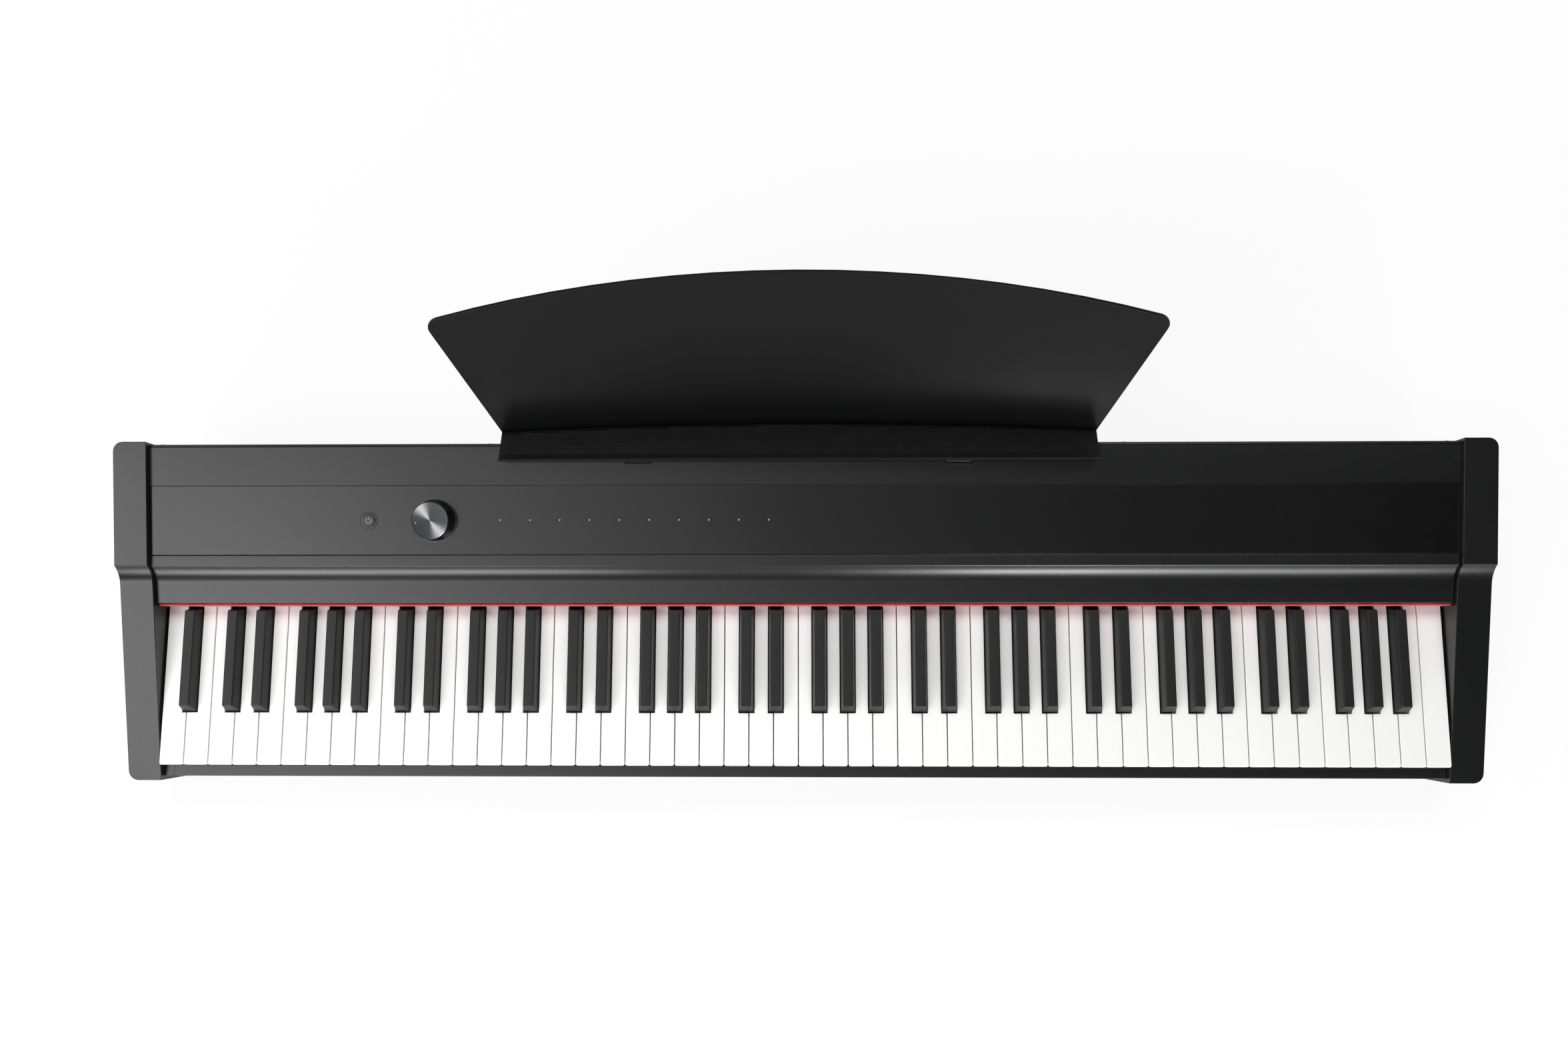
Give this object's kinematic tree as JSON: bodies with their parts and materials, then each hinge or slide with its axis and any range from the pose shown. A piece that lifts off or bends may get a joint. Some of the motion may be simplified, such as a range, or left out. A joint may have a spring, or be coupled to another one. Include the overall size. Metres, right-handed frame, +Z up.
{
  "type": "digital piano",
  "caption": "Slim portable digital piano with full-size keys, sloping end blocks, touch light panel, volume knob, power button and a lift-off music rest.",
  "frame": {"origin": "centre of the bounding box at the height of the feet's undersides", "axes": "+X along the keyboard to the treble end, +Y from the player to the back, +Z up"},
  "size_m": [1.29, 0.4234, 0.3059],
  "materials": {
    "white_key_plastic": "moulded satin gloss",
    "black_key_plastic": "fine matt grain",
    "satin_black_plastic": "fine satin grain",
    "gloss_panel_plastic": "smooth, half gloss",
    "button_plastic": "satin",
    "socket_plastic": "moulded",
    "zinc_steel": "zinc plated sheet",
    "spring_steel": "bright",
    "red_felt": "pressed wool felt",
    "dark_felt": "pressed wool felt",
    "circuit_board": "solder mask",
    "rubber": "moulded",
    "speaker_paper": "pressed pulp",
    "spun_black_metal": "spun and black anodised",
    "light_guide": "translucent",
    "black_screw_steel": "black oxide",
    "board_fibre": "dark fibreboard"
  },
  "bodies": {
    "case": {"left_end_block": "satin_black_plastic", "right_end_block": "satin_black_plastic", "fascia": "satin_black_plastic", "top_cover": "satin_black_plastic", "keyslip": "satin_black_plastic", "rear_panel": "satin_black_plastic", "control_panel": "gloss_panel_plastic", "jack_board": "socket_plastic", "key_frame": "zinc_steel", "left_bracket": "zinc_steel", "right_bracket": "zinc_steel", "left_speaker_basket": "zinc_steel", "right_speaker_basket": "zinc_steel", "power_button_ring": "zinc_steel", "pivot_rod": "spring_steel", "key_return_springs": "spring_steel", "nameboard_felt": "red_felt", "key_stop_felt": "dark_felt", "contact_board": "circuit_board", "control_board": "circuit_board", "main_board": "circuit_board", "contact_rubber": "rubber", "front_left_foot": "rubber", "front_right_foot": "rubber", "rear_left_foot": "rubber", "rear_right_foot": "rubber", "left_speaker_cone": "speaker_paper", "right_speaker_cone": "speaker_paper", "touch_light_guide": "light_guide", "rear_screw_1": "black_screw_steel", "rear_screw_2": "black_screw_steel", "rear_screw_3": "black_screw_steel", "rear_screw_4": "black_screw_steel", "bottom_board": "board_fibre"},
    "white_keys_bass": {"white_keys_bass": "white_key_plastic"},
    "black_keys_bass": {"black_keys_bass": "black_key_plastic"},
    "white_keys_octave_3": {"white_keys_octave_3": "white_key_plastic"},
    "black_keys_octave_3": {"black_keys_octave_3": "black_key_plastic"},
    "white_keys_octave_5": {"white_keys_octave_5": "white_key_plastic"},
    "black_keys_octave_5": {"black_keys_octave_5": "black_key_plastic"},
    "white_keys_treble": {"white_keys_treble": "white_key_plastic"},
    "black_keys_treble": {"black_keys_treble": "black_key_plastic"},
    "key_C4": {"key_C4": "white_key_plastic"},
    "key_C_sharp_4": {"key_C_sharp_4": "black_key_plastic"},
    "key_D4": {"key_D4": "white_key_plastic"},
    "key_D_sharp_4": {"key_D_sharp_4": "black_key_plastic"},
    "key_E4": {"key_E4": "white_key_plastic"},
    "key_F4": {"key_F4": "white_key_plastic"},
    "key_F_sharp_4": {"key_F_sharp_4": "black_key_plastic"},
    "key_G4": {"key_G4": "white_key_plastic"},
    "key_G_sharp_4": {"key_G_sharp_4": "black_key_plastic"},
    "key_A4": {"key_A4": "white_key_plastic"},
    "key_A_sharp_4": {"key_A_sharp_4": "black_key_plastic"},
    "key_B4": {"key_B4": "white_key_plastic"},
    "volume_knob": {"volume_knob": "satin_black_plastic", "knob_cap": "spun_black_metal"},
    "power_button": {"power_button": "button_plastic"},
    "music_rest": {"music_rest_panel": "gloss_panel_plastic", "music_rest_ledge": "satin_black_plastic", "music_rest_pegs": "satin_black_plastic"}
  },
  "joints": [
    {"name": "white_keys_bass_hinge", "type": "hinge", "parent": "case", "child": "white_keys_bass", "pos_m": [0, 0.03878, 0.07], "axis": [1, 0, 0], "range_deg": [0, 2.43], "stiffness_Nm_per_rad": 9.6, "springref_deg": -20.63, "deforming": ["key_return_springs"]},
    {"name": "black_keys_bass_hinge", "type": "hinge", "parent": "case", "child": "black_keys_bass", "pos_m": [0, 0.03878, 0.07], "axis": [1, 0, 0], "range_deg": [0, 2.43], "stiffness_Nm_per_rad": 6.6, "springref_deg": -20.63, "deforming": ["key_return_springs"]},
    {"name": "white_keys_octave_3_hinge", "type": "hinge", "parent": "case", "child": "white_keys_octave_3", "pos_m": [0, 0.03878, 0.07], "axis": [1, 0, 0], "range_deg": [0, 2.43], "stiffness_Nm_per_rad": 4.2, "springref_deg": -20.63, "deforming": ["key_return_springs"]},
    {"name": "black_keys_octave_3_hinge", "type": "hinge", "parent": "case", "child": "black_keys_octave_3", "pos_m": [0, 0.03878, 0.07], "axis": [1, 0, 0], "range_deg": [0, 2.43], "stiffness_Nm_per_rad": 3, "springref_deg": -20.63, "deforming": ["key_return_springs"]},
    {"name": "white_keys_octave_5_hinge", "type": "hinge", "parent": "case", "child": "white_keys_octave_5", "pos_m": [0, 0.03878, 0.07], "axis": [1, 0, 0], "range_deg": [0, 2.43], "stiffness_Nm_per_rad": 4.2, "springref_deg": -20.63, "deforming": ["key_return_springs"]},
    {"name": "black_keys_octave_5_hinge", "type": "hinge", "parent": "case", "child": "black_keys_octave_5", "pos_m": [0, 0.03878, 0.07], "axis": [1, 0, 0], "range_deg": [0, 2.43], "stiffness_Nm_per_rad": 3, "springref_deg": -20.63, "deforming": ["key_return_springs"]},
    {"name": "white_keys_treble_hinge", "type": "hinge", "parent": "case", "child": "white_keys_treble", "pos_m": [0, 0.03878, 0.07], "axis": [1, 0, 0], "range_deg": [0, 2.43], "stiffness_Nm_per_rad": 9, "springref_deg": -20.63, "deforming": ["key_return_springs"]},
    {"name": "black_keys_treble_hinge", "type": "hinge", "parent": "case", "child": "black_keys_treble", "pos_m": [0, 0.03878, 0.07], "axis": [1, 0, 0], "range_deg": [0, 2.43], "stiffness_Nm_per_rad": 6, "springref_deg": -20.63, "deforming": ["key_return_springs"]},
    {"name": "key_C4_hinge", "type": "hinge", "parent": "case", "child": "key_C4", "pos_m": [0, 0.03878, 0.07], "axis": [1, 0, 0], "range_deg": [0, 2.43], "stiffness_Nm_per_rad": 0.6, "springref_deg": -20.63, "deforming": ["key_return_springs"]},
    {"name": "key_C_sharp_4_hinge", "type": "hinge", "parent": "case", "child": "key_C_sharp_4", "pos_m": [0, 0.03878, 0.07], "axis": [1, 0, 0], "range_deg": [0, 2.43], "stiffness_Nm_per_rad": 0.6, "springref_deg": -20.63, "deforming": ["key_return_springs"]},
    {"name": "key_D4_hinge", "type": "hinge", "parent": "case", "child": "key_D4", "pos_m": [0, 0.03878, 0.07], "axis": [1, 0, 0], "range_deg": [0, 2.43], "stiffness_Nm_per_rad": 0.6, "springref_deg": -20.63, "deforming": ["key_return_springs"]},
    {"name": "key_D_sharp_4_hinge", "type": "hinge", "parent": "case", "child": "key_D_sharp_4", "pos_m": [0, 0.03878, 0.07], "axis": [1, 0, 0], "range_deg": [0, 2.43], "stiffness_Nm_per_rad": 0.6, "springref_deg": -20.63, "deforming": ["key_return_springs"]},
    {"name": "key_E4_hinge", "type": "hinge", "parent": "case", "child": "key_E4", "pos_m": [0, 0.03878, 0.07], "axis": [1, 0, 0], "range_deg": [0, 2.43], "stiffness_Nm_per_rad": 0.6, "springref_deg": -20.63, "deforming": ["key_return_springs"]},
    {"name": "key_F4_hinge", "type": "hinge", "parent": "case", "child": "key_F4", "pos_m": [0, 0.03878, 0.07], "axis": [1, 0, 0], "range_deg": [0, 2.43], "stiffness_Nm_per_rad": 0.6, "springref_deg": -20.63, "deforming": ["key_return_springs"]},
    {"name": "key_F_sharp_4_hinge", "type": "hinge", "parent": "case", "child": "key_F_sharp_4", "pos_m": [0, 0.03878, 0.07], "axis": [1, 0, 0], "range_deg": [0, 2.43], "stiffness_Nm_per_rad": 0.6, "springref_deg": -20.63, "deforming": ["key_return_springs"]},
    {"name": "key_G4_hinge", "type": "hinge", "parent": "case", "child": "key_G4", "pos_m": [0, 0.03878, 0.07], "axis": [1, 0, 0], "range_deg": [0, 2.43], "stiffness_Nm_per_rad": 0.6, "springref_deg": -20.63, "deforming": ["key_return_springs"]},
    {"name": "key_G_sharp_4_hinge", "type": "hinge", "parent": "case", "child": "key_G_sharp_4", "pos_m": [0, 0.03878, 0.07], "axis": [1, 0, 0], "range_deg": [0, 2.43], "stiffness_Nm_per_rad": 0.6, "springref_deg": -20.63, "deforming": ["key_return_springs"]},
    {"name": "key_A4_hinge", "type": "hinge", "parent": "case", "child": "key_A4", "pos_m": [0, 0.03878, 0.07], "axis": [1, 0, 0], "range_deg": [0, 2.43], "stiffness_Nm_per_rad": 0.6, "springref_deg": -20.63, "deforming": ["key_return_springs"]},
    {"name": "key_A_sharp_4_hinge", "type": "hinge", "parent": "case", "child": "key_A_sharp_4", "pos_m": [0, 0.03878, 0.07], "axis": [1, 0, 0], "range_deg": [0, 2.43], "stiffness_Nm_per_rad": 0.6, "springref_deg": -20.63, "deforming": ["key_return_springs"]},
    {"name": "key_B4_hinge", "type": "hinge", "parent": "case", "child": "key_B4", "pos_m": [0, 0.03878, 0.07], "axis": [1, 0, 0], "range_deg": [0, 2.43], "stiffness_Nm_per_rad": 0.6, "springref_deg": -20.63, "deforming": ["key_return_springs"]},
    {"name": "volume_knob_turn", "type": "hinge", "parent": "case", "child": "volume_knob", "pos_m": [-0.3418, 0.03378, 0.12322], "axis": [0, -0.1425, 0.9898], "range_deg": [-257, 43]},
    {"name": "power_button_press", "type": "slide", "parent": "case", "child": "power_button", "axis": [0, 0.1425, -0.9898], "range_m": [0, 0.0012], "stiffness_N_per_m": 400, "springref_m": -0.002},
    {"name": "music_rest_lift", "type": "slide", "parent": "case", "child": "music_rest", "axis": [0, 0.4384, 0.8988], "range_m": [0, 0.04]}
  ]
}
